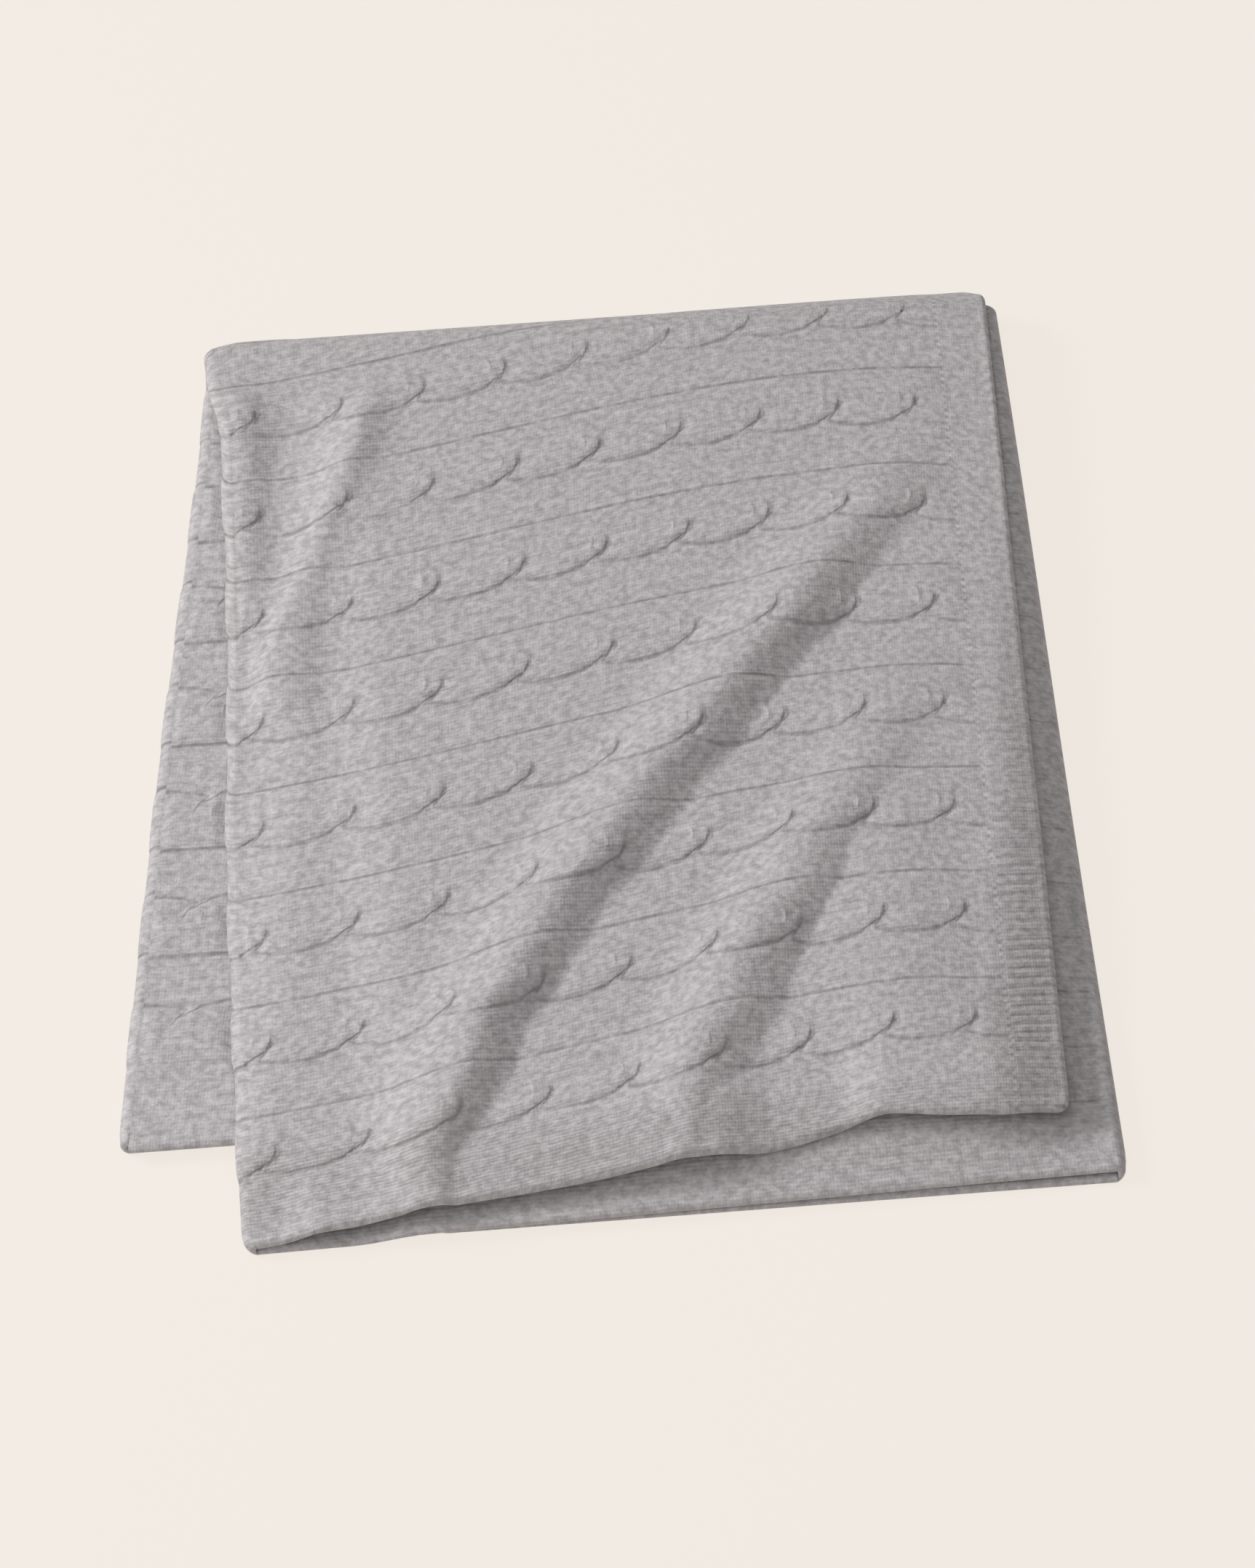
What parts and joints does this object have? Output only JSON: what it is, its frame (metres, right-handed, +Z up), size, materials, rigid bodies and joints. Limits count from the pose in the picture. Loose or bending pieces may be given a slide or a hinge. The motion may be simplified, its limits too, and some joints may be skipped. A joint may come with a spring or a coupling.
{
  "type": "throw blanket",
  "caption": "Folded cable-knit throw blanket with ribbed end bands, plain knitted borders and a front half that folds open over the far fold.",
  "frame": {"origin": "middle of the base of the folded blanket's bounding box, on the floor", "axes": "+Z up out of the floor, +Y from the hems towards the far fold, +X along the far fold to the right as seen from the hems"},
  "size_m": [0.628, 0.6714, 0.0577],
  "materials": {
    "cable_knit": "matte heather knit with raised rope cables",
    "knit_wrong_side": "matte heather knit, plain wrong side",
    "ribbed_knit": "matte ribbed knit",
    "plain_border": "matte plain knit",
    "folded_knit": "matte heather knit bent round a fold"
  },
  "bodies": {
    "rear_half": {"rear_inner_leaf": "knit_wrong_side", "rear_inner_border": "plain_border", "rear_inner_rib_band": "ribbed_knit", "rear_right_fold": "folded_knit", "rear_middle_leaf": "cable_knit", "rear_middle_border": "plain_border", "rear_left_fold": "folded_knit", "rear_bottom_leaf": "knit_wrong_side", "rear_bottom_border": "plain_border", "rear_bottom_rib_band": "ribbed_knit", "top_fold_outer": "folded_knit", "top_fold_middle": "folded_knit", "top_fold_inner": "folded_knit"},
    "front_half": {"front_top_leaf": "cable_knit", "front_top_border": "plain_border", "front_top_rib_band": "ribbed_knit", "front_left_fold": "folded_knit", "front_middle_leaf": "knit_wrong_side", "front_middle_border": "plain_border", "front_right_fold": "folded_knit", "front_inner_leaf": "cable_knit", "front_inner_border": "plain_border", "front_inner_rib_band": "ribbed_knit"}
  },
  "joints": [
    {"name": "top_fold", "type": "hinge", "parent": "rear_half", "child": "front_half", "pos_m": [0, 0.31333, 0.02235], "axis": [-1, 0, 0], "range_deg": [0, 180], "deforming": ["top_fold_outer", "top_fold_middle", "top_fold_inner"]}
  ]
}
